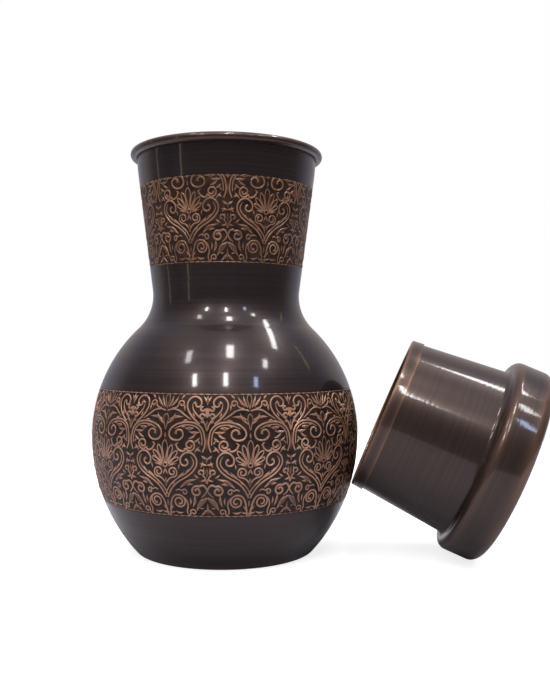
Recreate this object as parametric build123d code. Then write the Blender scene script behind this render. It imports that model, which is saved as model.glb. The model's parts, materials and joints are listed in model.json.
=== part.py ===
from build123d import *
import math
import os

# A copper bedside water jug and the tumbler that closes it, in millimetres and degrees.
# The jug stands on the floor with its axis on Z. The tumbler is off the jug: it leans,
# mouth upwards, against the belly on the +X side, resting on the corner of its closed end.

# Jug body, sizes of the outer face
jug_height = 194.9  # to the top of the rolled rim
base_radius = 42.9  # where the bowl's curve runs out at the floor
base_corner_radius = 3.0
belly_radius = 65.0
belly_height = 56.5  # height of the widest section
shoulder_bend_radius = 72.0
waist_bend_radius = 22.0
neck_mouth_radius = 43.95
neck_flare = 7.3  # lean of the neck's wall from upright
mouth_bend_radius = 78.0  # brings the flared wall upright at the rim
jug_sheet = 0.8

# Rolled rim and the wire inside it
rim_bead_radius = 2.0
rim_curl_end = -120.0  # direction from the bead's centre to the sheet's cut edge
wire_clearance = 0.1

# Base: standing flange turned in from the bowl, and the disc brazed on it
flange_width = 8.0
disc_sheet = 1.0
disc_edge_gap = 1.2  # from the disc's edge to the end of the flat flange

# Lap joints between sheets
belly_lap = 5.0
waist_lap = 4.0
drum_lap = 4.0
lap_clearance = 0.05
joggle_length = 2.0  # height over which a lapped sheet steps inwards
braze_leg = 1.2

# Tumbler
tumbler_sheet = 0.7
plug_depth = 47.5  # part of the tumbler that goes down the neck
drum_height = 19.0
drum_overhang = 0.35  # drum beyond the jug's rim, on the radius
drum_end_corner = 4.5
drum_shoulder_corner = 4.0
drum_seam_height = 12.0
cone_foot_radius = 2.5  # hollow bend between the drum's shoulder and the cone
cone_clearance = 2.1  # cone's foot to the neck's mouth, on the radius
hem_clearance = 0.4  # hem to the neck's wall when the tumbler is seated
hem_width = 5.0

# Rest position of the tumbler
lean_angle = 23.0  # of the tumbler's axis above the floor
lean_clearance = 0.3


class Bend:
    """Sheet bent round a centre, travelling from one angle to another on its outer face."""

    def __init__(self, centre, radius, start, end):
        self.centre = centre
        self.radius = radius
        self.start = start
        self.turn = end - start
        self.inward = math.copysign(1, self.turn)
        self.length = radius * math.radians(abs(self.turn))

    def at(self, distance, depth):
        """Point at a distance along the outer face and a depth below it."""
        reach = self.radius - self.inward * depth
        angle = math.radians(self.start + self.turn * distance / self.length)
        across = self.centre[0] + reach * math.cos(angle)
        return (across, 0, self.centre[1] + reach * math.sin(angle))

    def edge(self, depth, first, last):
        middle = (first + last) / 2
        return ThreePointArc(self.at(first, depth), self.at(middle, depth), self.at(last, depth))


class Run:
    """Straight sheet between two points of its outer face."""

    def __init__(self, start, end):
        self.start = start
        self.length = math.dist(start, end)
        self.along = [(end[i] - start[i]) / self.length for i in range(2)]

    def at(self, distance, depth):
        across = self.start[0] + self.along[0] * distance - self.along[1] * depth
        return (across, 0, self.start[1] + self.along[1] * distance + self.along[0] * depth)

    def edge(self, depth, first, last):
        return Line(self.at(first, depth), self.at(last, depth))


def face_edges(stretches, depth, skip=0.0):
    """Edges of a sheet's face at one depth, the first of them begun late by skip."""
    starts = [skip] + [0.0] * (len(stretches) - 1)
    return [s.edge(depth, start, s.length) for s, start in zip(stretches, starts)]


def sheet_section(stretches, thickness):
    """Section of a sheet with square ends."""
    outer = face_edges(stretches, 0)
    inner = face_edges(stretches, thickness)
    ends = [Line(outer[0] @ 0, inner[0] @ 0), Line(outer[-1] @ 1, inner[-1] @ 1)]
    return make_face(outer + inner + ends)


def lapped_section(stretches, below, thickness, lap):
    """Section of a sheet whose lower end steps inwards and down inside the sheet below it."""
    near = thickness + lap_clearance
    far = near + thickness
    outer = face_edges(stretches, 0)
    inner = face_edges(stretches, thickness, joggle_length)
    lip_outer = below.edge(near, below.length - lap, below.length)
    lip_inner = below.edge(far, below.length - lap, below.length)
    joins = [
        Line(outer[-1] @ 1, inner[-1] @ 1),
        Line(outer[0] @ 0, lip_outer @ 1),
        Line(lip_outer @ 0, lip_inner @ 0),
        Line(lip_inner @ 1, inner[0] @ 0),
    ]
    return make_face(outer + inner + [lip_outer, lip_inner] + joins)


def braze_section(below, thickness, lap):
    """Fillet of braze in the corner under a lap joint's lip."""
    top = below.length - lap
    wall = below.edge(thickness, top - braze_leg, top)
    tip = below.at(top, 2 * thickness + lap_clearance)
    return make_face([wall, Line(wall @ 1, tip), Line(tip, wall @ 0)])


def ring(section):
    """Solid of revolution about Z."""
    return revolve(section, Axis.Z, 360)


# Bowl: its curve is upright at the belly and reaches the floor at the base radius.
bowl_bend_radius = ((belly_radius - base_radius) ** 2 + belly_height**2) / (
    2 * (belly_radius - base_radius)
)
bowl_centre = (belly_radius - bowl_bend_radius, belly_height)
corner_reach = bowl_bend_radius - base_corner_radius
corner_drop = belly_height - base_corner_radius
corner_centre = (
    bowl_centre[0] + math.sqrt(corner_reach**2 - corner_drop**2),
    base_corner_radius,
)
bowl_start = -math.degrees(math.asin(corner_drop / corner_reach))
flange_inner_radius = corner_centre[0] - flange_width
flange_run = Run((flange_inner_radius, 0), (corner_centre[0], 0))
corner_bend = Bend(corner_centre, base_corner_radius, -90, bowl_start)
bowl_bend = Bend(bowl_centre, bowl_bend_radius, bowl_start, 0)
bowl = ring(sheet_section([flange_run, corner_bend, bowl_bend], jug_sheet))

# Neck, from the rim down: an upright end, a short bend and a cone.
rim_height = jug_height - rim_bead_radius
rim_radius = neck_mouth_radius - jug_sheet + rim_bead_radius
flare = math.radians(neck_flare)
mouth_bend = Bend((neck_mouth_radius - mouth_bend_radius, rim_height), mouth_bend_radius, -neck_flare, 0)
curl_bend = Bend((rim_radius, rim_height), rim_bead_radius - jug_sheet, 180, rim_curl_end)
cone_top = mouth_bend.at(0, 0)

# The hollow waist touches the cone and the shoulder's bend.
shoulder_centre = (belly_radius - shoulder_bend_radius, belly_height)
offset_across = cone_top[0] + waist_bend_radius * math.cos(flare) - shoulder_centre[0]
offset_up = cone_top[2] - waist_bend_radius * math.sin(flare) - shoulder_centre[1]
offset_along = offset_across * math.sin(flare) + offset_up * math.cos(flare)
centres_apart = shoulder_bend_radius + waist_bend_radius
slide_down = offset_along - math.sqrt(
    offset_along**2 - offset_across**2 - offset_up**2 + centres_apart**2
)
waist_centre = (
    shoulder_centre[0] + offset_across - slide_down * math.sin(flare),
    shoulder_centre[1] + offset_up - slide_down * math.cos(flare),
)
waist_height = waist_centre[1]
shoulder_end = math.degrees(math.asin((waist_height - belly_height) / centres_apart))
shoulder_bend = Bend(shoulder_centre, shoulder_bend_radius, 0, shoulder_end)
lower_waist_bend = Bend(waist_centre, waist_bend_radius, 180 + shoulder_end, 180)
upper_waist_bend = Bend(waist_centre, waist_bend_radius, 180, 180 - neck_flare)
waist_top = upper_waist_bend.at(upper_waist_bend.length, 0)
cone_run = Run((waist_top[0], waist_top[2]), (cone_top[0], cone_top[2]))

shoulder = ring(
    lapped_section([shoulder_bend, lower_waist_bend], bowl_bend, jug_sheet, belly_lap)
)
neck = ring(
    lapped_section(
        [upper_waist_bend, cone_run, mouth_bend, curl_bend],
        lower_waist_bend,
        jug_sheet,
        waist_lap,
    )
)
belly_braze = ring(braze_section(bowl_bend, jug_sheet, belly_lap))
waist_braze = ring(braze_section(lower_waist_bend, jug_sheet, waist_lap))

# Wire that stiffens the rolled rim
wire_radius = rim_bead_radius - jug_sheet - wire_clearance
rim_wire = Pos(0, 0, rim_height) * Torus(rim_radius, wire_radius)

# Disc that closes the base, lying on the standing flange, and the braze round its edge
disc_radius = corner_centre[0] - disc_edge_gap
disc_top = jug_sheet + disc_sheet
base_disc = Pos(0, 0, jug_sheet + disc_sheet / 2) * Cylinder(disc_radius, disc_sheet)
base_braze = ring(
    make_face(
        Polyline(
            (disc_radius, 0, jug_sheet),
            (disc_radius + disc_edge_gap, 0, jug_sheet),
            (disc_radius, 0, disc_top),
            close=True,
        )
    )
)


def neck_inner_radius(height):
    """Inside radius of the neck's cone at a height."""
    below_top = cone_top[2] - height
    return cone_top[0] - below_top * math.tan(flare) - jug_sheet / math.cos(flare)


# Tumbler, upright on its closed end with its axis on Z. Its plug fits the neck and its
# drum covers the rim.
tumbler_length = plug_depth + drum_height
drum_radius = rim_radius + rim_bead_radius + drum_overhang
hem_outer_radius = neck_inner_radius(jug_height - plug_depth) - hem_clearance
mouth_radius = hem_outer_radius - tumbler_sheet
cone_radius = neck_mouth_radius - jug_sheet - cone_clearance
fold_height = tumbler_length - tumbler_sheet
taper = math.atan((cone_radius - mouth_radius) / (fold_height - drum_height))

end_run = Run((0, 0), (drum_radius - drum_end_corner, 0))
end_corner = Bend((drum_radius - drum_end_corner, drum_end_corner), drum_end_corner, -90, 0)
cap_run = Run((drum_radius, drum_end_corner), (drum_radius, drum_seam_height))
shoulder_corner_centre = (drum_radius - drum_shoulder_corner, drum_height - drum_shoulder_corner)
skirt_run = Run((drum_radius, drum_seam_height), (drum_radius, shoulder_corner_centre[1]))
drum_corner = Bend(shoulder_corner_centre, drum_shoulder_corner, 0, 90)
foot_centre = (
    cone_radius + cone_foot_radius * (1 - math.sin(taper)) / math.cos(taper),
    drum_height + cone_foot_radius,
)
seat_run = Run((shoulder_corner_centre[0], drum_height), (foot_centre[0], drum_height))
foot_bend = Bend(foot_centre, cone_foot_radius, 270, 180 + math.degrees(taper))
foot_top = foot_bend.at(foot_bend.length, 0)
plug_run = Run((foot_top[0], foot_top[2]), (mouth_radius, fold_height))


def hem_section():
    """Mouth edge folded outwards and pressed flat, so the sheet is double there."""
    first = plug_run.length - hem_width
    last = plug_run.length
    outer = plug_run.edge(-tumbler_sheet, first, last)
    inner = plug_run.edge(tumbler_sheet, first, last)
    crown = plug_run.at(last + tumbler_sheet, 0)
    fold = ThreePointArc(outer @ 1, crown, inner @ 1)
    return make_face([outer, fold, inner, Line(inner @ 0, outer @ 0)])


wall_stretches = [skirt_run, drum_corner, seat_run, foot_bend, plug_run]
wall_section = lapped_section(wall_stretches, cap_run, tumbler_sheet, drum_lap) + hem_section()
tumbler_wall = ring(wall_section)
tumbler_cap = ring(sheet_section([end_run, end_corner, cap_run], tumbler_sheet))
tumbler_braze = ring(braze_section(cap_run, tumbler_sheet, drum_lap))

# The tumbler tips about the centre of its end corner, which rolls on the floor. Tipped
# from upright, its hem comes to rest beside the bowl.
tip_angle = 90 - lean_angle
tip = math.radians(tip_angle)
corner_offset = drum_radius - drum_end_corner
hem_across = corner_offset - mouth_radius
hem_up = fold_height - drum_end_corner
hem_from_corner = (
    hem_across * math.cos(tip) - hem_up * math.sin(tip),
    hem_across * math.sin(tip) + hem_up * math.cos(tip),
)
hem_rest_height = drum_end_corner + hem_from_corner[1]
hem_reach = bowl_bend_radius + tumbler_sheet + lean_clearance
hem_rest_across = bowl_centre[0] + math.sqrt(hem_reach**2 - (hem_rest_height - belly_height) ** 2)
hinge_x = hem_rest_across - hem_from_corner[0]
lean = (
    Pos(hinge_x, 0, drum_end_corner)
    * Rot(0, -tip_angle, 0)
    * Pos(corner_offset, 0, -drum_end_corner)
)

pieces = {
    "bowl": bowl,
    "shoulder": shoulder,
    "neck": neck,
    "rim_wire": rim_wire,
    "base_disc": base_disc,
    "base_braze": base_braze,
    "belly_braze": belly_braze,
    "waist_braze": waist_braze,
    "tumbler_wall": lean * tumbler_wall,
    "tumbler_cap": lean * tumbler_cap,
    "tumbler_braze": lean * tumbler_braze,
}

os.makedirs("parts", exist_ok=True)
for name, piece in pieces.items():
    export_step(piece, f"parts/{name}.step")

print(f"tumbler_tip hinge: x {hinge_x:.4f}, z {drum_end_corner:.4f}, opens {tip_angle:.1f} degrees")
print(f"standing ring: radius {flange_inner_radius:.3f} to {corner_centre[0]:.3f}")
print(f"waist at {waist_height:.2f}, outer radius {waist_centre[0] - waist_bend_radius:.2f}")
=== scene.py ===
import json
import math

import bmesh
import bpy
from mathutils import Matrix, Vector


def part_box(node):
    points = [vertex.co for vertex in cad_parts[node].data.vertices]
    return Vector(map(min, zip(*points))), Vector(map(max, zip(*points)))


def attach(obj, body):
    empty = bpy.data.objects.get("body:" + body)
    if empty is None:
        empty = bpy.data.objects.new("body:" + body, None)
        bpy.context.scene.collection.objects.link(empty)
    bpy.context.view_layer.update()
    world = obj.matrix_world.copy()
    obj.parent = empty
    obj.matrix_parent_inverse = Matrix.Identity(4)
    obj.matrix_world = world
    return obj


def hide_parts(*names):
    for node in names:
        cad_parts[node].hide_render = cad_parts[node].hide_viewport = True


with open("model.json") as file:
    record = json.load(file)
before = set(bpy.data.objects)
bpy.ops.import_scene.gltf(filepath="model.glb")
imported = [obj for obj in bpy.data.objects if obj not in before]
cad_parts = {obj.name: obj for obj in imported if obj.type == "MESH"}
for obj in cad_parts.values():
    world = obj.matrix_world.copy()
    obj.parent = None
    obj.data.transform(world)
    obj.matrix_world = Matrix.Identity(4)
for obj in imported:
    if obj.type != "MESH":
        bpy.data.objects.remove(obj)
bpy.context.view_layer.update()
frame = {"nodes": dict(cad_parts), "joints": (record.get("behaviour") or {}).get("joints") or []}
mm = 0.001


# ------------------------------------------------------------------ Room and camera
# The jug stands on a pale floor in an even white room. The viewer looks level from
# a little over the belly's height, with the tumbler on the right.

def look(place, yaw, roll):
    """Transform of something at a place that looks level towards a heading."""
    facing = Matrix.Rotation(math.radians(yaw), 4, "Z")
    upright = Matrix.Rotation(math.radians(90), 4, "X")
    return Matrix.Translation(place) @ facing @ upright @ Matrix.Rotation(math.radians(roll), 4, "Z")


view_yaw = 8.0
camera = bpy.data.objects.new("camera", bpy.data.cameras.new("camera"))
camera.data.lens = 43.58
camera.data.sensor_width = 36.0
camera.data.clip_start = 0.01
camera.matrix_world = look((81.5 * mm, -406.1 * mm, 100.9 * mm), view_yaw, 0.2)
bpy.context.scene.collection.objects.link(camera)
bpy.context.scene.camera = camera
bpy.context.scene.view_settings.view_transform = "Standard"


def feed(tree, made, inputs):
    """Set a node's inputs to values, or link them to outputs."""
    for socket, value in inputs.items():
        if isinstance(value, bpy.types.NodeSocket):
            tree.links.new(value, made.inputs[socket])
        elif made.inputs[socket].type == "RGBA":
            made.inputs[socket].default_value = (*value, 1)
        else:
            made.inputs[socket].default_value = value


def node(tree, kind, inputs, **settings):
    """New node with its settings and inputs."""
    made = tree.nodes.new("ShaderNode" + kind)
    for setting, value in settings.items():
        setattr(made, setting, value)
    feed(tree, made, inputs)
    return made


def spread(tree, value, low, high, start=0.3, end=0.7):
    """Value from one range spread over another."""
    ends = {"From Min": start, "From Max": end, "To Min": low, "To Max": high}
    return node(tree, "MapRange", {"Value": value, **ends}).outputs[0]


def blended(tree, share, first, second, way="MIX"):
    """Colour between two, each a colour or an output."""
    inputs = {0: share, 6: first, 7: second}
    return node(tree, "Mix", inputs, data_type="RGBA", blend_type=way).outputs[2]


def graded(tree, share, stops):
    """Colour that runs through stops of a share and a colour."""
    made = node(tree, "ValToRGB", {"Fac": share})
    ends = made.color_ramp.elements
    for end, (place, colour) in zip(ends, (stops[0], stops[-1])):
        end.position = place
        end.color = (*colour, 1)
    for place, colour in stops[1:-1]:
        ends.new(place).color = (*colour, 1)
    return made.outputs["Color"]


# The walls as the copper reflects them: dim in front of the jug, brighter towards the
# ceiling and pale behind it, tinted in cool and warm clouds. The backdrop itself is white.
world = bpy.data.worlds.new("room")
bpy.context.scene.world = world
world.use_nodes = True
room = world.node_tree
room.nodes.clear()
room_place = node(room, "TexCoord", {}).outputs["Generated"]
room_turn = {"Vector": room_place, "Rotation": (0, 0, math.radians(-view_yaw))}
room_ahead = node(room, "Mapping", room_turn).outputs[0]
room_axes = node(room, "SeparateXYZ", {0: room_ahead}).outputs
room_greys = ((0.4, 0.18), (0.66, 0.37), (0.88, 0.62))
room_stops = [(rise, (grey, grey * 0.97, grey * 1.02)) for rise, grey in room_greys]
room_stops = [(0, (0.165, 0.16, 0.17)), *room_stops, (1, (0.64, 0.62, 0.65))]
room_walls = graded(room, room_axes["Z"], room_stops)
room_behind = spread(room, room_axes["Y"], 0, 1, 0.2, 0.5)
room_walls = blended(room, room_behind, room_walls, (0.42, 0.40, 0.42))
room_cloud = node(room, "TexNoise", {"Vector": room_ahead, "Scale": 1.6, "Detail": 1.0}).outputs["Fac"]
room_tint = graded(room, room_cloud, [(0.38, (0.72, 0.76, 0.92)), (0.62, (1.0, 0.92, 0.86))])
room_walls = blended(room, 1.0, room_walls, room_tint, "MULTIPLY")
room_reflected = node(room, "Background", {"Color": room_walls}).outputs[0]
room_backdrop = node(room, "Background", {"Color": (1, 1, 1)}).outputs[0]
room_seen = node(room, "LightPath", {}).outputs["Is Camera Ray"]
room_mix = node(room, "MixShader", {0: room_seen, 1: room_reflected, 2: room_backdrop}).outputs[0]
node(room, "OutputWorld", {"Surface": room_mix})


def material(name):
    """New material, its node tree and its Principled shader."""
    made = bpy.data.materials.new(name)
    made.use_nodes = True
    return made, made.node_tree, made.node_tree.nodes["Principled BSDF"]


# The floor is dim in the copper's reflections, and white with a soft shadow when looked at.
floor_finish, floor_tree, floor_shader = material("pale_floor")
feed(floor_tree, floor_shader, {"Base Color": (0.30, 0.285, 0.31), "Roughness": 0.8})
floor_white = node(floor_tree, "Emission", {"Strength": 0.8}).outputs[0]
floor_shadow = node(floor_tree, "BsdfDiffuse", {"Color": (0.45, 0.45, 0.45)}).outputs[0]
floor_looked_at = node(floor_tree, "AddShader", {0: floor_white, 1: floor_shadow}).outputs[0]
floor_seen = node(floor_tree, "LightPath", {}).outputs["Is Camera Ray"]
floor_sides = {0: floor_seen, 1: floor_shader.outputs[0], 2: floor_looked_at}
floor_mix = node(floor_tree, "MixShader", floor_sides).outputs[0]
feed(floor_tree, floor_tree.nodes["Material Output"], {"Surface": floor_mix})
floor_mesh = bmesh.new()
bmesh.ops.create_circle(floor_mesh, cap_ends=True, segments=96, radius=0.55)
floor_data = bpy.data.meshes.new("floor")
floor_mesh.to_mesh(floor_data)
floor_mesh.free()
floor_data.materials.append(floor_finish)
floor = bpy.data.objects.new("floor", floor_data)
bpy.context.scene.collection.objects.link(floor)


def heading(azimuth, elevation):
    """Direction seen from the jug. Azimuth 0 is the viewer's side, positive to the right."""
    a = math.radians(azimuth + view_yaw)
    e = math.radians(elevation)
    return Vector((math.sin(a) * math.cos(e), -math.cos(a) * math.cos(e), math.sin(e)))


jug_middle = Vector((0, 0, 100 * mm))
lamp_distance = 4.0


def lamp(name, start, end, width, glow, tint=(1, 1, 1), distance=lamp_distance):
    """Strip lamp between two headings, facing the jug. Its glow is its brightness when looked at."""
    ends = [heading(*start) * distance, heading(*end) * distance]
    middle = (ends[0] + ends[1]) / 2
    along = (ends[1] - ends[0]).normalized()
    facing = middle.normalized()
    aside = along.cross(facing).normalized()
    data = bpy.data.lights.new(name, "AREA")
    data.shape = "RECTANGLE"
    data.size = width
    data.size_y = (ends[1] - ends[0]).length
    data.energy = glow * math.pi * data.size * data.size_y
    data.color = tint
    made = bpy.data.objects.new(name, data)
    made.matrix_world = Matrix.Translation(jug_middle + middle) @ (
        Matrix((aside, along, aside.cross(along))).transposed().to_4x4()
    )
    bpy.context.scene.collection.objects.link(made)
    return made


# Two soft lamps light the scene without showing in the copper. The strips do show: two
# rows of ceiling lamps, a window behind on the right, and the lit edges of doorways.
soft_lamps = [
    lamp("overhead", (0, 60), (180, 64), 1.6, 5.2, distance=1.6),
    lamp("front_fill", (-20, 8), (-20, 52), 1.2, 1.4, distance=1.6),
]
for soft_lamp in soft_lamps:
    soft_lamp.visible_glossy = False
lamp("near_left", (-32.8, 46.4), (-28.4, 37.8), 0.22, 40)
lamp("near_middle", (3, 50.1), (2.9, 39.8), 0.22, 42)
lamp("near_right", (36.6, 44.3), (33.4, 37.1), 0.20, 20, (0.55, 0.68, 1))
lamp("far_left", (-59.2, 61.3), (-48.9, 53.1), 0.28, 15)
lamp("far_middle", (13.1, 74.1), (9.5, 62.6), 0.36, 28)
lamp("far_right", (59.6, 55.0), (52.2, 49.3), 0.24, 24)
lamp("window", (86, 56.5), (123, 61.5), 0.24, 22)
lamp("door_edge_right", (114, 45), (103, 33), 0.03, 6, (1, 0.78, 0.38))
lamp("door_edge_left", (-56, -14), (-56, 20), 0.035, 7, (1, 0.85, 0.6))
lamp("door_edge_far_left", (-94, -14), (-94, 20), 0.03, 5, (1, 0.85, 0.6))


# ------------------------------------------------------------------ Bowl
# The lower half of the belly, raised from copper sheet, with its edge turned in
# flat under the jug as a standing ring. The ornament band starts on it: the ground
# between the raised lines is etched a little below the plain surface.

sheet = 0.8 * mm
etch = 0.15 * mm
belly_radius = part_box("bowl")[1].x
belly_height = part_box("bowl")[1].z
base_radius = 42.9 * mm
base_corner = 3.0 * mm
flange_width = 8.0 * mm
belly_band = (27.0 * mm, 80.0 * mm)
turns = 256


def bend(centre, radius, start, end, steps, depth=0.0):
    """Points of sheet bent round a centre, at a depth below its outer face."""
    reach = radius - math.copysign(depth, end - start) if depth else radius
    angles = [math.radians(start + (end - start) * i / steps) for i in range(steps + 1)]
    return [(centre[0] + reach * math.cos(a), centre[1] + reach * math.sin(a)) for a in angles]


def level(centre, radius, height):
    """Angle at which a convex bend passes a height."""
    return math.degrees(math.asin((height - centre[1]) / radius))


def turned(name, outline, closed=True):
    """Object turned from an outline of (radius, height) points. It keeps its heights as an attribute."""
    bm = bmesh.new()
    verts = [bm.verts.new((r, 0, z)) for r, z in outline]
    ring = verts + verts[:1] if closed else verts
    edges = [bm.edges.new(pair) for pair in zip(ring, ring[1:])]
    bmesh.ops.spin(
        bm, geom=verts + edges, cent=(0, 0, 0), axis=(0, 0, 1), dvec=(0, 0, 0),
        angle=2 * math.pi, steps=turns, use_merge=True,
    )
    bmesh.ops.remove_doubles(bm, verts=bm.verts, dist=1e-6)
    bmesh.ops.recalc_face_normals(bm, faces=bm.faces)
    height = bm.verts.layers.float.new("height")
    for v in bm.verts:
        v[height] = v.co.z
    return placed(name, bm)


def placed(name, bm):
    """Smooth-shaded object from a bmesh, with its sharper corners kept sharp."""
    data = bpy.data.meshes.new(name)
    bm.to_mesh(data)
    bm.free()
    data.shade_smooth()
    data.set_sharp_from_angle(angle=math.radians(35))
    made = bpy.data.objects.new(name, data)
    bpy.context.scene.collection.objects.link(made)
    return made


bowl_bend = ((belly_radius - base_radius) ** 2 + belly_height**2) / (2 * (belly_radius - base_radius))
bowl_centre = (belly_radius - bowl_bend, belly_height)
corner_reach = bowl_bend - base_corner
corner_drop = belly_height - base_corner
corner_centre = (bowl_centre[0] + math.sqrt(corner_reach**2 - corner_drop**2), base_corner)
bowl_start = -math.degrees(math.asin(corner_drop / corner_reach))
band_foot = level(bowl_centre, bowl_bend, belly_band[0])
flange_edge = corner_centre[0] - flange_width

bowl_outline = [(flange_edge, 0)]
bowl_outline += bend(corner_centre, base_corner, -90, bowl_start, 12)
bowl_outline += bend(bowl_centre, bowl_bend, bowl_start, band_foot, 48)[1:]
bowl_outline += bend(bowl_centre, bowl_bend, band_foot, 0, 48, etch)
bowl_outline += bend(bowl_centre, bowl_bend, bowl_start, 0, 40, sheet)[::-1]
bowl_outline += bend(corner_centre, base_corner, -90, bowl_start, 8, sheet)[::-1][1:]
bowl_outline += [(flange_edge, sheet)]
bowl = turned("bowl_shell", bowl_outline)
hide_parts("bowl")
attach(bowl, "jug")


# The antique finish: copper darkened nearly black, brushed round and round on the
# lathe, rubbed through to bright copper where hands and edges wear it, and covered
# with clear gloss lacquer.

def clouds(tree, scale, detail=3.0, seat=Matrix(), stretch=(1, 1, 1)):
    """Noise on a piece's own axes, where they lie by its seat, stretched along each."""
    turn = {
        "Vector": node(tree, "TexCoord", {}).outputs["Object"],
        "Location": seat.to_translation(), "Rotation": seat.to_euler(), "Scale": stretch,
    }
    axes = node(tree, "Mapping", turn, vector_type="TEXTURE").outputs[0]
    return node(tree, "TexNoise", {"Vector": axes, "Scale": scale, "Detail": detail}).outputs["Fac"]


def kept(tree, name):
    """Value that a mesh keeps as an attribute."""
    return node(tree, "Attribute", {}, attribute_name=name).outputs["Fac"]


def rough(tree, height, depth, strength=1.0):
    """Normal of a face whose height varies by a depth."""
    return node(tree, "Bump", {"Height": height, "Distance": depth, "Strength": strength}).outputs[0]


def antiqued(name, dark, light, worn, copper, groove, seat=Matrix()):
    """Antiqued copper, worn by the amounts given at heights in mm, with grooves of one depth."""
    made, tree, shader = material(name)

    # Brush marks about a millimetre wide that run far round the piece.
    rings = clouds(tree, 1000, 4.0, seat, (120, 120, 1))
    body = blended(tree, spread(tree, rings, 0, 1), dark, light)

    # Wear by height, uneven in patches about 15 mm tall.
    broad = clouds(tree, 60, 3.0, seat, (3, 3, 1))
    top = worn[-1][0]
    share = spread(tree, kept(tree, "height"), 0, 1, 0, top * mm)
    wear = graded(tree, share, [(height / top, (amount,) * 3) for height, amount in worn])
    patchy = node(tree, "Math", {0: wear, 1: spread(tree, broad, 0.35, 1.25)}, operation="MULTIPLY")

    # The marks are grooves too, and the lacquer follows them.
    grooves = rough(tree, rings, groove)
    feed(tree, shader, {
        "Base Color": blended(tree, patchy.outputs[0], body, copper),
        "Normal": grooves, "Coat Normal": grooves, "Metallic": 0.7, "Roughness": 0.32,
        "Coat Weight": 1.0, "Coat Roughness": 0.085, "Coat IOR": 1.4,
    })
    return made


jug_worn = [(0, 0.3), (1.0, 0.25), (4.0, 0.0), (189.5, 0.0), (191.2, 0.12), (194.0, 0.26), (194.9, 0.42)]
antique = antiqued(
    "antique_copper", (0.028, 0.017, 0.0152), (0.042, 0.027, 0.0245), jug_worn,
    (0.30, 0.15, 0.09), 0.008 * mm,
)
bowl.data.materials.append(antique)


# ------------------------------------------------------------------ Shoulder
# The upper belly and the hollow waist, one sheet, lapped inside the bowl's edge.
# The ornament band ends on it.

shoulder_bend = 72.0 * mm
waist_bend = 22.0 * mm
neck_flare = 7.3
mouth_bend = 78.0 * mm
rim_bead = 2.0 * mm
rim_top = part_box("neck")[1].z
rim_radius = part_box("neck")[1].x - rim_bead
rim_height = rim_top - rim_bead
neck_mouth = rim_radius - rim_bead + sheet

flare = math.radians(neck_flare)
mouth_centre = (neck_mouth - mouth_bend, rim_height)
cone_top = bend(mouth_centre, mouth_bend, -neck_flare, 0, 1)[0]
shoulder_centre = Vector((belly_radius - shoulder_bend, belly_height))
offset = Vector(cone_top) + waist_bend * Vector((math.cos(flare), -math.sin(flare))) - shoulder_centre
uphill = Vector((math.sin(flare), math.cos(flare)))
bends_apart = shoulder_bend + waist_bend
slide = offset.dot(uphill) - math.sqrt(offset.dot(uphill) ** 2 - offset.length_squared + bends_apart**2)
waist_centre = shoulder_centre + offset - slide * uphill
shoulder_end = math.degrees(math.asin((waist_centre.y - belly_height) / bends_apart))
band_head = level(shoulder_centre, shoulder_bend, belly_band[1])

shoulder_outline = bend(shoulder_centre, shoulder_bend, 0, band_head, 40, etch)
shoulder_outline += bend(shoulder_centre, shoulder_bend, band_head, shoulder_end, 64)
shoulder_outline += bend(waist_centre, waist_bend, 180 + shoulder_end, 180, 48)[1:]
shoulder_outline += bend(waist_centre, waist_bend, 180 + shoulder_end, 180, 24, sheet)[::-1]
shoulder_outline += bend(shoulder_centre, shoulder_bend, 0, shoulder_end, 40, sheet)[::-1][1:]
shoulder = turned("shoulder_shell", shoulder_outline)
shoulder.data.materials.append(antique)
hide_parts("shoulder")
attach(shoulder, "jug")


# ------------------------------------------------------------------ Neck
# A flared cone of sheet with the second ornament band. At the mouth it is brought
# upright and rolled outwards over a wire.

neck_band = (137.5 * mm, 176.6 * mm)
curl_end = -120.0


def cone_point(height):
    """Point of the neck's outer face at a height."""
    return (cone_top[0] - (cone_top[1] - height) * math.tan(flare), height)


def below(point, depth):
    """Point at a depth below the neck's cone."""
    return (point[0] - depth * math.cos(flare), point[1] + depth * math.sin(flare))


neck_outline = bend(waist_centre, waist_bend, 180, 180 - neck_flare, 10)
neck_outline += [cone_point(neck_band[0])]
neck_outline += [below(cone_point(z), etch) for z in neck_band]
neck_outline += [cone_point(neck_band[1])]
neck_outline += bend(mouth_centre, mouth_bend, -neck_flare, 0, 16)
neck_outline += bend((rim_radius, rim_height), rim_bead - sheet, 180, curl_end, 24)[1:]
neck_outline += bend((rim_radius, rim_height), rim_bead - sheet, 180, curl_end, 32, sheet)[::-1]
neck_outline += bend(mouth_centre, mouth_bend, -neck_flare, 0, 12, sheet)[::-1][1:]
neck_outline += bend(waist_centre, waist_bend, 180, 180 - neck_flare, 10, sheet)[::-1]
neck = turned("neck_shell", neck_outline)
neck.data.materials.append(antique)
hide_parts("neck")
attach(neck, "jug")


# ------------------------------------------------------------------ Etched ornament
# Vines, scrolls, palmettes and vases in low relief: the ground round them is etched away
# and blackened, and their crests are rubbed bright. Half a repeat is drawn flat, in
# millimetres from the palmette's axis, then mirrored and laid round both bands.

repeat_half = 18.56
crest = 0.17 * mm
line_half = 0.43 * mm
flat_top = line_half * math.sin(math.radians(60))
vines = bpy.data.curves.new("vines", "CURVE")
vines.dimensions = "3D"
vines.twist_mode = "Z_UP"
vines.resolution_u = 3
vines.bevel_depth = line_half
vines.bevel_resolution = 1
vines.use_fill_caps = True


def stroke(points, widths):
    """Raised line through points of the drawing, as wide as its list says at each."""
    line = vines.splines.new("BEZIER")
    line.bezier_points.add(len(points) - 1)
    for knot, (x, y), width in zip(line.bezier_points, points, widths):
        knot.co = (x * mm, y * mm, 0)
        knot.radius = width
        knot.handle_left_type = "AUTO"
        knot.handle_right_type = "AUTO"


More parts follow.
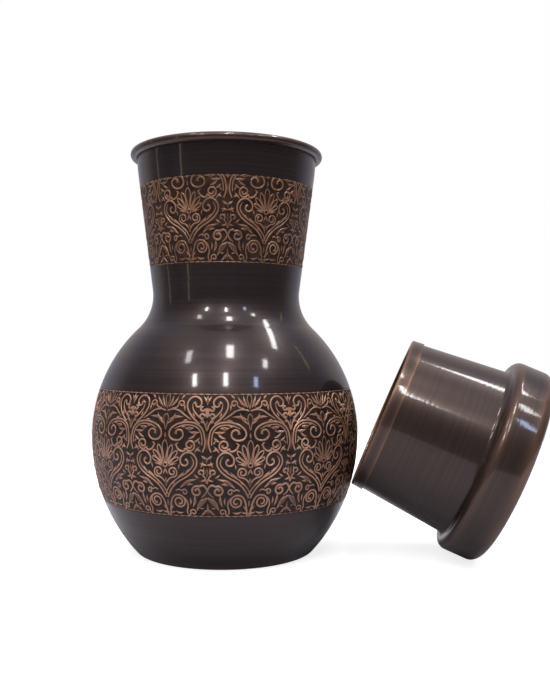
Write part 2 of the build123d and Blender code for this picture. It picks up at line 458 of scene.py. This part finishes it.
def vine(*points, width=1.0, root=0.9, tip=0.6):
    """Line of even width that changes at its root and tip."""
    stroke(points, [width * root] + [width] * (len(points) - 2) + [width * tip])


def volute(centre, radius, start, turns, *lead, width=1.0, eye=0.3):
    """Scroll led in by its first points, which winds round a centre to a bead."""
    steps = round(abs(turns) * 8)
    angles = [math.radians(start + 360 * turns * i / steps) for i in range(steps + 1)]
    reaches = [radius * (1 - (1 - eye) * i / steps) for i in range(steps + 1)]
    wound = [(centre[0] + r * math.cos(a), centre[1] + r * math.sin(a)) for r, a in zip(reaches, angles)]
    vine(*lead, *wound, width=width, tip=1.6)


def across(root, tip):
    """Function of a share of the way from root to tip, and of a distance to its left."""
    along = Vector(tip) - Vector(root)
    left = along.orthogonal().normalized()
    return lambda share, out: tuple(Vector(root) + share * along + out * left)


def leaf(root, tip, breadth, bow=0.0):
    """Solid pointed leaf, bowed to the left of its line by a distance."""
    spot = across(root, tip)
    stroke([root, spot(0.45, bow), tip], [0.35 * breadth, breadth, 0.12 * breadth])


def petal(root, tip, breadth):
    """Outline of a petal that is widest near its tip."""
    spot = across(root, tip)
    side = [(0.35, 0.28), (0.72, 0.5), (0.95, 0.23)]
    left = [spot(share, out * breadth) for share, out in side]
    right = [spot(share, -out * breadth) for share, out in side[::-1]]
    vine(root, *left, tip, *right, root, width=0.7, tip=0.9)


def beside(points, gap):
    """The same line a gap to the left, for a doubled stem."""
    ends = zip([points[0]] + points[:-1], points[1:] + [points[-1]])
    lefts = [across(before, after)(0, gap) for before, after in ends]
    starts = [points[0]] + points[:-1]
    return [tuple(Vector(p) + Vector(l) - Vector(s)) for p, l, s in zip(points, lefts, starts)]


# Frame that springs from a V and curls in beside the palmette.
stem = [(0.35, 9.0), (2.4, 12.8), (5.6, 16.0), (9.9, 18.6), (13.1, 21.6), (14.3, 24.8), (13.0, 27.8)]
curl = [(10.4, 28.9), (7.9, 27.6), (7.0, 25.4), (8.0, 23.4), (9.9, 23.6), (10.3, 25.2), (9.2, 25.9)]
vine(*stem, *curl, tip=1.4)
vine(*beside(stem, 1.4), width=0.8)

# Palmette, and the heart and twin scrolls that carry it.
volute((0, 23.4), 0.95, -90, 0.5, width=0.7, eye=1.0)
petal((0, 24.5), (0, 33.8), 2.5)
petal((0.8, 24.5), (3.2, 31.8), 1.8)
petal((1.2, 24.1), (5.6, 29.4), 1.7)
petal((1.4, 23.6), (6.2, 26.6), 1.4)
leaf((1.4, 22.9), (5.6, 24.0), 1.1, 0.2)
volute((3.3, 20.3), 2.4, -100, 1.45, (0.3, 15.4), (1.4, 17.0), width=0.9)
leaf((0, 14.0), (0, 18.2), 1.8)
leaf((0, 22.0), (1.5, 18.8), 0.9, -0.2)

leaf((5.6, 18.2), (8.8, 20.8), 1.3, -0.3)
leaf((9.2, 20.6), (11.6, 22.4), 0.9, -0.2)
leaf((6.2, 21.6), (6.9, 24.4), 0.9, 0.2)
leaf((2.4, 14.6), (4.8, 17.4), 0.9, -0.2)

# Scrolls and buds under the V.
volute((5.6, 7.2), 3.1, 100, -1.6, (0.7, 0.6), (1.2, 4.6), (2.2, 8.2), (3.6, 9.9), width=1.05)
vine((5.1, 10.4), (8.5, 8.7), (9.6, 5.6), (8.9, 2.6), (9.6, 0.7), width=0.85)
volute((11.9, 2.4), 1.6, 210, -1.1, (9.4, 0.5), width=0.85)
leaf((0, 8.0), (0, 4.6), 1.3)
leaf((0.3, 3.2), (2.7, 5.7), 1.1, -0.3)
leaf((0.2, 2.0), (3.6, 2.6), 1.1, -0.4)
leaf((3.3, 2.6), (7.6, 2.4), 1.3, -0.7)
leaf((0, 0.6), (0, 2.8), 1.0)

# Leaves and scrolls between the frame and the vase's foot.
leaf((18.4, 9.2), (13.4, 3.2), 2.9, -0.5)
leaf((18.5, 4.0), (15.2, 0.9), 1.6, 0.2)
leaf((18.56, 6.6), (18.56, 0.9), 1.2)
leaf((12.9, 10.2), (11.7, 4.6), 1.6, 0.5)
leaf((10.8, 9.2), (10.6, 5.4), 1.1, 0.3)
volute((13.9, 12.1), 2.5, 60, 1.3, (18.5, 12.6), (17.4, 14.4), (15.8, 14.7), width=1.15)
vine((18.5, 12.6), (17.6, 10.9), (15.9, 9.4), width=0.9)
leaf((6.6, 13.6), (14.4, 17.6), 2.0, 0.8)
volute((8.4, 11.6), 1.4, 150, -1.1, (4.4, 12.2), (5.8, 12.8), width=0.85)
leaf((9.6, 14.6), (12.6, 15.2), 1.2, 0.3)
volute((15.9, 20.3), 1.5, -50, 1.0, (18.5, 15.6), (17.6, 18.4), width=0.95)
leaf((18.56, 18.6), (18.56, 22.6), 1.7)
leaf((18.4, 17.6), (15.4, 16.6), 1.2, 0.3)
leaf((18.5, 23.6), (15.5, 24.4), 1.4, 0.2)
leaf((18.5, 26.2), (16.2, 27.8), 1.4, 0.3)
leaf((18.56, 24.2), (18.56, 27.6), 1.0)
leaf((15.9, 22.6), (16.9, 25.6), 1.1, -0.3)
leaf((15.2, 17.9), (12.7, 19.8), 1.1, 0.2)
leaf((17.3, 19.6), (17.2, 23.0), 0.9)
leaf((16.3, 9.0), (14.4, 6.6), 1.1, 0.2)
leaf((16.9, 4.2), (14.6, 4.4), 0.9)

# Scroll beside the palmette's head.
volute((11.2, 31.9), 2.6, 215, 1.45, (5.0, 32.4), (6.4, 29.9), (8.9, 29.6), width=1.0)
leaf((13.6, 30.0), (16.2, 29.2), 1.3, 0.3)
leaf((13.2, 33.4), (15.6, 35.4), 1.4, -0.4)
leaf((10.6, 34.6), (14.2, 37.0), 1.3, -0.4)
leaf((4.6, 31.6), (6.6, 33.0), 0.9, 0.2)
leaf((0, 34.6), (0, 37.4), 1.2)
leaf((13.2, 28.6), (15.8, 31.6), 1.1, 0.2)
leaf((15.9, 32.2), (14.6, 34.2), 0.9)

# Vase, whose doubled lip curls over the palmette.
lip = [
    (16.7, 29.0), (17.7, 31.8), (17.6, 35.4), (16.6, 38.6),
    (14.2, 40.8), (11.0, 41.6), (7.0, 41.2), (3.8, 39.8),
]
curl = [
    (1.9, 37.2), (2.5, 34.9), (4.7, 33.9), (7.1, 34.5),
    (8.2, 36.4), (7.1, 38.2), (5.2, 37.9), (4.9, 36.4),
]
vine(*lip, *curl, tip=1.5)
vine(*beside(lip, 1.2)[1:], width=0.8)
leaf((12.8, 39.2), (8.8, 39.2), 1.8, 0.3)
leaf((9.2, 39.8), (6.9, 40.0), 1.0, 0.2)
leaf((15.4, 37.4), (10.4, 37.7), 1.5, 0.4)
leaf((18.56, 29.4), (18.56, 38.4), 0.8)

# Lyre on the vase, with the crossed scrolls inside it.
vine((15.4, 40.8), (12.6, 43.2), (10.4, 46.0), (9.5, 49.0), (10.6, 51.6), (12.9, 52.6), (15.1, 51.6),
     (15.9, 49.7), (14.9, 48.2), (13.4, 48.7), (13.5, 49.9), tip=1.4)
vine((18.5, 38.0), (17.2, 41.6), (14.4, 44.4), (12.4, 46.8), (11.8, 49.2), width=0.85)
volute((16.3, 43.9), 1.4, 20, 0.9, (18.5, 47.6), (18.2, 45.6), width=1.1)
volute((16.4, 47.5), 1.3, -20, -0.8, (18.5, 43.6), (18.1, 45.8), width=1.1)
leaf((18.56, 38.6), (18.56, 42.6), 1.6)
leaf((18.56, 48.8), (18.56, 53.4), 1.7)
leaf((18.4, 49.6), (16.6, 52.8), 1.2, -0.3)

leaf((13.4, 43.6), (12.2, 46.0), 1.0, 0.2)
leaf((13.2, 50.6), (11.6, 49.2), 1.1, 0.2)
leaf((17.3, 41.4), (15.4, 42.2), 1.0, 0.2)
leaf((8.6, 46.4), (8.4, 49.6), 1.1, 0.2)
leaf((7.8, 42.0), (10.6, 42.4), 1.0, 0.2)

# Bud and fan above the palmette.
petal((0, 38.2), (0, 45.0), 2.2)
leaf((0.6, 40.6), (4.6, 45.8), 1.5, -0.6)
leaf((1.4, 42.6), (8.4, 43.8), 1.5, 0.6)
vine((0.4, 46.4), (3.0, 47.0), (6.0, 46.4), (8.6, 44.6), (11.6, 42.6), width=0.9)
petal((0, 47.2), (0, 53.6), 2.0)
leaf((0.9, 47.8), (2.9, 53.4), 1.5, -0.3)
leaf((1.9, 48.2), (5.4, 53.0), 1.4, -0.4)
leaf((6.6, 51.4), (8.4, 53.4), 1.2, 0.2)
volute((6.9, 49.4), 1.6, 200, -1.1, (2.6, 47.4), (4.4, 47.8), width=0.85)


def drawn():
    """Mesh of the lines drawn so far. It clears the drawing."""
    sheet_of_lines = bpy.data.objects.new("vines", vines)
    bpy.context.scene.collection.objects.link(sheet_of_lines)
    made = bpy.data.meshes.new_from_object(
        sheet_of_lines.evaluated_get(bpy.context.evaluated_depsgraph_get())
    )
    bpy.data.objects.remove(sheet_of_lines)
    vines.splines.clear()
    return made


vines_mesh = drawn()

# Fine rule along each edge of a band, alternately broad and narrow.
border_gap = 0.45 * mm
stroke([(repeat_half * i / 12, 0) for i in range(13)], [0.72, 0.4] * 6 + [0.72])
border_mesh = drawn()


# Finishes of the bands: copper rubbed bright on the raised lines, which stays dark down
# their sides and browner on the broad leaves, and the blackened, pitted ground. The
# neck's ornament is rubbed less than the belly's, so it is duller and browner.

def rubbed_copper(name, dull, bright, leaf_middle):
    """Copper of the raised lines, clouded between two colours along their crests."""
    made, tree, shader = material(name)

    # Height in half line widths: flanks are under 0.6, and only broad leaves pass 0.95.
    above = kept(tree, "crest")
    line = blended(tree, spread(tree, clouds(tree, 70), 0, 1), dull, bright)
    face = blended(tree, spread(tree, above, 0, 1, 0.95, 1.35), line, leaf_middle)
    flank = (0.05, 0.022, 0.015)
    feed(tree, shader, {
        "Base Color": blended(tree, spread(tree, above, 0, 1, 0.1, 0.6), flank, face),
        "Metallic": 0.6, "Roughness": 0.42, "Coat Weight": 0.6, "Coat Roughness": 0.2,
    })
    return made


def etched_ground(name, dark, light):
    """Ground that the acid has pitted, blackened between two colours."""
    made, tree, shader = material(name)
    feed(tree, shader, {
        "Base Color": blended(tree, spread(tree, clouds(tree, 260), 0, 1), dark, light),
        "Normal": rough(tree, clouds(tree, 2500), 0.03 * mm, 0.5), "Roughness": 0.5,
        "Specular IOR Level": 0.15, "Coat Weight": 0.35, "Coat Roughness": 0.22,
    })
    return made


belly_rubbed = rubbed_copper(
    "rubbed_copper", (0.28, 0.145, 0.088), (0.62, 0.34, 0.21), (0.17, 0.085, 0.05),
)
neck_rubbed = rubbed_copper(
    "rubbed_neck_copper", (0.20, 0.098, 0.052), (0.47, 0.24, 0.132), (0.14, 0.066, 0.035),
)
belly_ground = etched_ground("etched_ground", (0.006, 0.004, 0.004), (0.032, 0.016, 0.012))
neck_ground = etched_ground("etched_neck_ground", (0.010, 0.005, 0.004), (0.044, 0.0205, 0.012))


def laid(name, low, high, repeats, place, borders, finish):
    """Ornament between two heights of the drawing, laid round the jug by its place on the face."""
    count, start = repeats
    bm = bmesh.new()
    bm.from_mesh(vines_mesh)
    for edge, side in ((low, -1), (high, 1)):
        cut = bmesh.ops.bisect_plane(
            bm, geom=bm.verts[:] + bm.edges[:] + bm.faces[:], plane_co=(0, edge, 0),
            plane_no=(0, side, 0), clear_outer=True,
        )
        rims = [e for e in cut["geom_cut"] if isinstance(e, bmesh.types.BMEdge)]
        bmesh.ops.holes_fill(bm, edges=rims)
    for border in borders:
        vine_verts = set(bm.verts)
        bm.from_mesh(border_mesh)
        border_verts = [v for v in bm.verts if v not in vine_verts]
        bmesh.ops.translate(bm, verts=border_verts, vec=(0, border, 0))
    bmesh.ops.mirror(bm, geom=bm.verts[:] + bm.edges[:] + bm.faces[:], axis="X", merge_dist=-1)
    first = bm.verts[:] + bm.edges[:] + bm.faces[:]
    for turn in range(1, count):
        copied = bmesh.ops.duplicate(bm, geom=first)["geom"]
        moved = [v for v in copied if isinstance(v, bmesh.types.BMVert)]
        bmesh.ops.translate(bm, verts=moved, vec=(2 * repeat_half * mm * turn, 0, 0))
    bmesh.ops.recalc_face_normals(bm, faces=bm.faces)
    rise = bm.verts.layers.float.new("crest")
    for v in bm.verts:
        v[rise] = v.co.z / line_half
        angle = math.radians(start + 360 / count * v.co.x / (2 * repeat_half * mm))
        radius, height = place(v.co.y, crest * v.co.z / flat_top - etch)
        v.co = (radius * math.cos(angle), radius * math.sin(angle), height)
    made = placed(name, bm)
    made.data.materials.append(finish)
    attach(made, "jug")


# Lengths along the belly's face from the band's foot: to the seam of bowl and shoulder,
# and to the band's head. The neck's band is measured up its cone.
seam_run = -math.radians(band_foot) * bowl_bend
belly_run = seam_run + math.radians(band_head) * shoulder_bend
neck_run = (neck_band[1] - neck_band[0]) / math.cos(flare)


def on_belly(run, height):
    """Place on the belly's face of a length above the band's foot, and a height off it."""
    if run < seam_run:
        angle = math.radians(band_foot) + run / bowl_bend
        centre, reach = bowl_centre, bowl_bend + height
    else:
        angle = (run - seam_run) / shoulder_bend
        centre, reach = shoulder_centre, shoulder_bend + height
    return centre[0] + reach * math.cos(angle), centre[1] + reach * math.sin(angle)


def on_neck(run, height):
    """Place on the neck's face of a length above the band's foot, and a height off it."""
    radius, rise = cone_point(neck_band[0] + run * math.cos(flare))
    return radius + height * math.cos(flare), rise - height * math.sin(flare)


# How often the drawing repeats round each band, and the angle of its first palmette.
belly_repeats = (11, -69.4)
neck_repeats = (7, -52.3)
laid("bowl_ornament", 0, seam_run, belly_repeats, on_belly, [border_gap], belly_rubbed)
laid(
    "shoulder_ornament", seam_run, belly_run, belly_repeats, on_belly,
    [belly_run - border_gap], belly_rubbed,
)
laid(
    "neck_ornament", 0, neck_run, neck_repeats, on_neck,
    [border_gap, neck_run - border_gap], neck_rubbed,
)


def grounded(shell, low, high, finish):
    """Give the shell's outer face between two heights the etched ground's finish."""
    shell.data.materials.append(finish)
    for face in shell.data.polygons:
        outward = face.normal.x * face.center.x + face.normal.y * face.center.y
        if low < face.center.z < high and outward > 0:
            face.material_index = 1


grounded(bowl, *belly_band, belly_ground)
grounded(shoulder, *belly_band, belly_ground)
grounded(neck, *neck_band, neck_ground)


# ------------------------------------------------------------------ Tumbler
# The tumbler's tapering wall with its mouth hem and drum shoulder, and the cap that
# makes the rest of the drum and the closed end.

tumbler_sheet = 0.7 * mm
tip_joint = frame["joints"][0]
hinge = Vector(tip_joint["pos_m"])
tip = math.radians(tip_joint["range_deg"][1])
plug_depth = 47.5 * mm
drum_height = 19.0 * mm
drum_radius = rim_radius + rim_bead + 0.35 * mm
drum_corner = 4.5 * mm
drum_shoulder = 4.0 * mm
drum_seam = 12.0 * mm
cone_foot = 2.5 * mm
cone_radius = neck_mouth - sheet - 2.1 * mm
tumbler_length = plug_depth + drum_height
fold_height = tumbler_length - tumbler_sheet
hem_width = 5.0 * mm
seated_hem = cone_point(rim_top - plug_depth)[0] - sheet / math.cos(flare) - 0.4 * mm
mouth_radius = seated_hem - tumbler_sheet
taper = math.atan((cone_radius - mouth_radius) / (fold_height - drum_height))

# From upright on its closed end to leaning: the end's near corner turns on the hinge.
lean = (
    Matrix.Translation(hinge)
    @ Matrix.Rotation(-tip, 4, "Y")
    @ Matrix.Translation((drum_radius - drum_corner, 0, -drum_corner))
)

end_centre = (drum_radius - drum_corner, drum_corner)
cap_outline = [(0, 0)]
cap_outline += bend(end_centre, drum_corner, -90, 0, 16)
cap_outline += [(drum_radius, drum_seam), (drum_radius - tumbler_sheet, drum_seam)]
cap_outline += bend(end_centre, drum_corner, -90, 0, 12, tumbler_sheet)[::-1]
cap_outline += [(0, tumbler_sheet)]

shoulder_corner = (drum_radius - drum_shoulder, drum_height - drum_shoulder)
foot_centre = (cone_radius + cone_foot * (1 - math.sin(taper)) / math.cos(taper), drum_height + cone_foot)
foot_end = 180 + math.degrees(taper)
plug_foot = bend(foot_centre, cone_foot, 270, foot_end, 1)[1]
plug_top = (mouth_radius, fold_height)


def on_plug(height, depth):
    """Point on the tapering wall at a height, a depth below its outer face."""
    share = (height - plug_foot[1]) / (plug_top[1] - plug_foot[1])
    radius = plug_foot[0] + (plug_top[0] - plug_foot[0]) * share
    return (radius - depth * math.cos(taper), height - depth * math.sin(taper))


wall_outline = [(drum_radius, drum_seam)]
wall_outline += bend(shoulder_corner, drum_shoulder, 0, 90, 16)
wall_outline += bend(foot_centre, cone_foot, 270, foot_end, 14)
hem_foot = fold_height - hem_width
wall_outline += [on_plug(hem_foot, 0), on_plug(hem_foot, -tumbler_sheet)]
wall_outline += bend(plug_top, tumbler_sheet, math.degrees(taper), 180 + math.degrees(taper), 12)
wall_outline += bend(foot_centre, cone_foot, 270, foot_end, 10, tumbler_sheet)[::-1]
wall_outline += bend(shoulder_corner, drum_shoulder, 0, 90, 12, tumbler_sheet)[::-1]
wall_outline += [(drum_radius - tumbler_sheet, drum_seam)]


def leaned(name, outline, closed=True):
    """Turned object tipped into the tumbler's resting place."""
    made = turned(name, outline, closed)
    made.data.transform(lean)
    return made


hem_at = hem_foot / mm
tumbler_worn = [
    (0, 0.05), (1.0, 0.2), (2.6, 0.32), (5.0, 0.08), (8, 0.0), (14, 0.03), (16.6, 0.2), (18.4, 0.08),
    (20.5, 0.0), (26, 0.0), (54, 0.02), (hem_at - 0.5, 0.03), (hem_at + 0.2, 0.42), (hem_at + 1.0, 0.14),
    (hem_at + 2.6, 0.05), (65.0, 0.12), (65.9, 0.5), (tumbler_length / mm, 0.6),
]
tumbler_finish = antiqued(
    "tumbler_copper", (0.035, 0.0215, 0.0165), (0.047, 0.029, 0.0225), tumbler_worn,
    (0.42, 0.22, 0.13), 0.02 * mm, lean,
)
wall = leaned("tumbler_wall_shell", wall_outline)
cap = leaned("tumbler_cap_shell", cap_outline, closed=False)
for shell, cad_piece in ((wall, "tumbler_wall"), (cap, "tumbler_cap")):
    shell.data.materials.append(tumbler_finish)
    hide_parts(cad_piece)
    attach(shell, "tumbler")


# ------------------------------------------------------------------ Hidden fittings
# The wire that keeps the rolled rim round, the disc brazed on the bowl's flange to close
# the base, and the fillets of brass braze inside the lap joints.

def mottled(name, dark, light, scale, pits, roughness):
    """Bare metal, clouded between two colours, with pits of one depth."""
    made, tree, shader = material(name)
    patches = clouds(tree, scale)
    feed(tree, shader, {
        "Base Color": blended(tree, spread(tree, patches, 0, 1), dark, light),
        "Normal": rough(tree, patches, pits), "Metallic": 1.0, "Roughness": roughness,
    })
    return made


braze_finish = mottled("braze_metal", (0.30, 0.17, 0.07), (0.66, 0.45, 0.19), 260, 0.12 * mm, 0.42)
wire_finish = mottled("wire_metal", (0.33, 0.33, 0.34), (0.52, 0.52, 0.53), 700, 0.02 * mm, 0.35)
fittings = {
    "base_braze": braze_finish, "belly_braze": braze_finish, "waist_braze": braze_finish,
    "tumbler_braze": braze_finish, "rim_wire": wire_finish, "base_disc": antique,
}
for fitting, finish in fittings.items():
    frame["nodes"][fitting].data.materials.clear()
    frame["nodes"][fitting].data.materials.append(finish)
